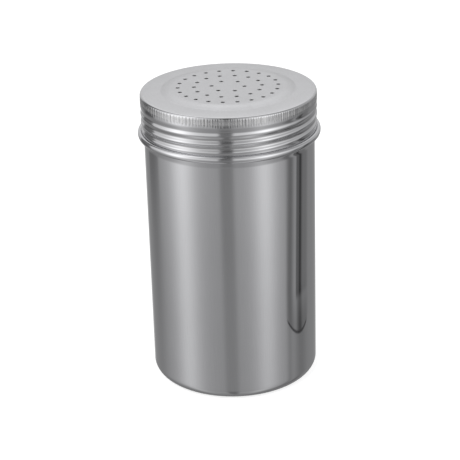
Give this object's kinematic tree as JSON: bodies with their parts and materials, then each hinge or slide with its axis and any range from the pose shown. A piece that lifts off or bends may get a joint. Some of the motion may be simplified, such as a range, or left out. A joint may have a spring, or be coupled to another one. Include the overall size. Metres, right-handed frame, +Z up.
{
  "type": "spice shaker",
  "caption": "Round stainless steel spice shaker: a deep-drawn cup with a rolled neck thread, closed by a perforated screw lid with a knurled grip band, and a seal ring between them.",
  "frame": {"origin": "centre of the cup's standing face, on the screw axis", "axes": "+Z up along the screw axis, from the base to the perforated top; X and Y are level, and the part is round about Z"},
  "size_m": [0.0746, 0.0746, 0.1257],
  "materials": {
    "cup_steel": "polished, with faint lengthwise lines",
    "lid_steel": "satin top, polished side",
    "seal_rubber": "matt silicone"
  },
  "bodies": {
    "cup": {"cup": "cup_steel"},
    "seal": {"lid_seal": "seal_rubber"},
    "lid": {"lid": "lid_steel"}
  },
  "joints": [
    {"name": "lid_rise", "type": "slide", "parent": "cup", "child": "seal", "axis": [0, 0, 1], "range_m": [0, 0.0281]},
    {"name": "lid_turn", "type": "hinge", "parent": "seal", "child": "lid", "pos_m": [0, 0, 0.115], "axis": [0, 0, 1], "range_deg": [0, 2880]}
  ],
  "couplings": [
    {"joint": "lid_rise", "follows": "lid_turn", "m_per_rad": 0.00055704}
  ]
}
